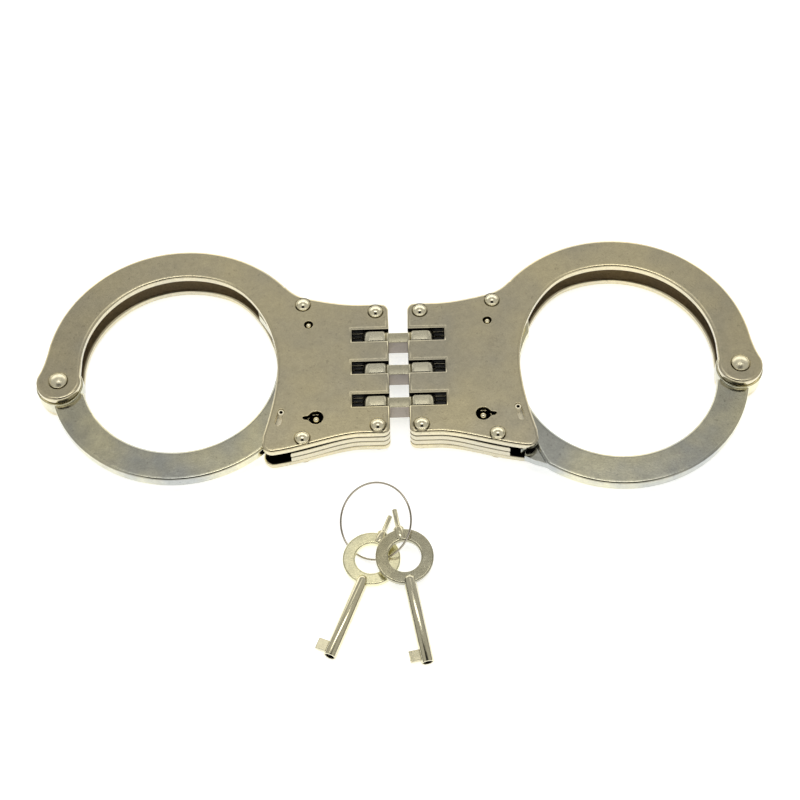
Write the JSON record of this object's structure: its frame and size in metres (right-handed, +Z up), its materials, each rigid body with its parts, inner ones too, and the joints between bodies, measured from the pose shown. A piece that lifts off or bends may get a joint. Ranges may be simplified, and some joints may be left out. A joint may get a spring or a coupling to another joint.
{
  "type": "hinged handcuffs",
  "caption": "Hinged double-locking steel handcuffs lying open side by side, with toothed swing-through bows, dog-bone hinge links and keys on a thin wire ring.",
  "frame": {"origin": "centre of the whole set's footprint, on the surface that the lower rivet heads rest on", "axes": "+X along the row from the left cuff to the right cuff, +Y away from the keys, +Z up out of the upper cheek plates"},
  "size_m": [0.236, 0.1476, 0.0135],
  "materials": {
    "hinge_link_far": "polished nickel plate",
    "hinge_link_middle": "polished nickel plate",
    "hinge_link_near": "polished nickel plate",
    "key_ring": "bright nickel plate",
    "left_cheek_plate_bottom": "satin nickel plate with polished rounded edges",
    "left_cheek_plate_top": "satin nickel plate with polished rounded edges",
    "left_double_lock_slide": "polished nickel plate",
    "left_hinge_pin": "polished nickel plate",
    "left_inner_frame_bottom": "satin nickel plate with polished rounded edges",
    "left_inner_frame_top": "satin nickel plate with polished rounded edges",
    "left_key_bow": "bright nickel plate",
    "left_key_peg": "bright nickel plate",
    "left_key_post": "polished nickel plate",
    "left_key_shank": "bright nickel plate",
    "left_pawl": "oiled spring steel",
    "left_pawl_pin": "polished nickel plate",
    "left_pawl_spring": "oiled spring steel",
    "left_rivet_inner_far": "polished nickel plate",
    "left_rivet_inner_near": "polished nickel plate",
    "left_rivet_outer_far": "polished nickel plate",
    "left_rivet_outer_near": "polished nickel plate",
    "left_rivet_pivot": "polished nickel plate",
    "left_single_bow": "satin nickel plate with polished rounded edges",
    "right_cheek_plate_bottom": "satin nickel plate with polished rounded edges",
    "right_cheek_plate_top": "satin nickel plate with polished rounded edges",
    "right_double_lock_slide": "polished nickel plate",
    "right_hinge_pin": "polished nickel plate",
    "right_inner_frame_bottom": "satin nickel plate with polished rounded edges",
    "right_inner_frame_top": "satin nickel plate with polished rounded edges",
    "right_key_bow": "bright nickel plate",
    "right_key_peg": "bright nickel plate",
    "right_key_post": "polished nickel plate",
    "right_key_shank": "bright nickel plate",
    "right_pawl": "oiled spring steel",
    "right_pawl_pin": "polished nickel plate",
    "right_pawl_spring": "oiled spring steel",
    "right_rivet_inner_far": "polished nickel plate",
    "right_rivet_inner_near": "polished nickel plate",
    "right_rivet_outer_far": "polished nickel plate",
    "right_rivet_outer_near": "polished nickel plate",
    "right_rivet_pivot": "polished nickel plate",
    "right_single_bow": "satin nickel plate with polished rounded edges"
  },
  "bodies": {
    "hinge_links": {"hinge_link_near": "hinge_link_near", "hinge_link_middle": "hinge_link_middle", "hinge_link_far": "hinge_link_far"},
    "left_cuff": {"left_cheek_plate_top": "left_cheek_plate_top", "left_cheek_plate_bottom": "left_cheek_plate_bottom", "left_inner_frame_top": "left_inner_frame_top", "left_inner_frame_bottom": "left_inner_frame_bottom", "left_rivet_pivot": "left_rivet_pivot", "left_rivet_outer_far": "left_rivet_outer_far", "left_rivet_outer_near": "left_rivet_outer_near", "left_rivet_inner_far": "left_rivet_inner_far", "left_rivet_inner_near": "left_rivet_inner_near", "left_pawl_pin": "left_pawl_pin", "left_key_post": "left_key_post", "left_hinge_pin": "left_hinge_pin", "left_pawl_spring": "left_pawl_spring"},
    "left_bow": {"left_single_bow": "left_single_bow"},
    "left_pawl_bar": {"left_pawl": "left_pawl"},
    "left_lock_slide": {"left_double_lock_slide": "left_double_lock_slide"},
    "right_cuff": {"right_cheek_plate_top": "right_cheek_plate_top", "right_cheek_plate_bottom": "right_cheek_plate_bottom", "right_inner_frame_top": "right_inner_frame_top", "right_inner_frame_bottom": "right_inner_frame_bottom", "right_rivet_pivot": "right_rivet_pivot", "right_rivet_outer_far": "right_rivet_outer_far", "right_rivet_outer_near": "right_rivet_outer_near", "right_rivet_inner_far": "right_rivet_inner_far", "right_rivet_inner_near": "right_rivet_inner_near", "right_pawl_pin": "right_pawl_pin", "right_key_post": "right_key_post", "right_hinge_pin": "right_hinge_pin", "right_pawl_spring": "right_pawl_spring"},
    "right_bow": {"right_single_bow": "right_single_bow"},
    "right_pawl_bar": {"right_pawl": "right_pawl"},
    "right_lock_slide": {"right_double_lock_slide": "right_double_lock_slide"},
    "ring": {"key_ring": "key_ring"},
    "left_key": {"left_key_bow": "left_key_bow", "left_key_shank": "left_key_shank", "left_key_peg": "left_key_peg"},
    "right_key": {"right_key_bow": "right_key_bow", "right_key_shank": "right_key_shank", "right_key_peg": "right_key_peg"}
  },
  "joints": [
    {"name": "left_fold", "type": "hinge", "parent": "hinge_links", "child": "left_cuff", "pos_m": [-0.0072, 0.02582, 0.0065], "axis": [0, 1, 0], "range_deg": [-90, 90]},
    {"name": "left_bow_swing", "type": "hinge", "parent": "left_cuff", "child": "left_bow", "pos_m": [-0.1104, 0.02362, 0.0065], "axis": [0, 0, -1], "continuous": true},
    {"name": "left_pawl_lift", "type": "hinge", "parent": "left_cuff", "child": "left_pawl_bar", "pos_m": [-0.0294, 0.04282, 0.0065], "axis": [0, 0, -1], "range_deg": [-5, 0], "stiffness_Nm_per_rad": 0.1, "springref_deg": 11.46, "deforming": ["left_pawl_spring"]},
    {"name": "left_double_lock", "type": "slide", "parent": "left_cuff", "child": "left_lock_slide", "axis": [-0.2326, -0.9726, 0], "range_m": [0, 0.0039]},
    {"name": "right_fold", "type": "hinge", "parent": "hinge_links", "child": "right_cuff", "pos_m": [0.0072, 0.02582, 0.0065], "axis": [0, -1, 0], "range_deg": [-90, 90]},
    {"name": "right_bow_swing", "type": "hinge", "parent": "right_cuff", "child": "right_bow", "pos_m": [0.1104, 0.02362, 0.0065], "axis": [0, 0, 1], "continuous": true},
    {"name": "right_pawl_lift", "type": "hinge", "parent": "right_cuff", "child": "right_pawl_bar", "pos_m": [0.0294, 0.04282, 0.0065], "axis": [0, 0, 1], "range_deg": [-5, 0], "stiffness_Nm_per_rad": 0.1, "springref_deg": 11.46, "deforming": ["right_pawl_spring"]},
    {"name": "right_double_lock", "type": "slide", "parent": "right_cuff", "child": "right_lock_slide", "axis": [0.2326, -0.9726, 0], "range_m": [0, 0.0039]},
    {"name": "ring_lift_off", "type": "slide", "parent": "hinge_links", "child": "ring", "axis": [0, -0.8, 0.6], "range_m": [0, 0.12]},
    {"name": "left_key_swing", "type": "hinge", "parent": "ring", "child": "left_key", "pos_m": [-0.00828, -0.03872, 0.002], "axis": [0, 0, 1], "range_deg": [-12, 12]},
    {"name": "right_key_swing", "type": "hinge", "parent": "ring", "child": "right_key", "pos_m": [-0.00176, -0.03776, 0.0054], "axis": [0, 0, 1], "range_deg": [-12, 12]}
  ]
}
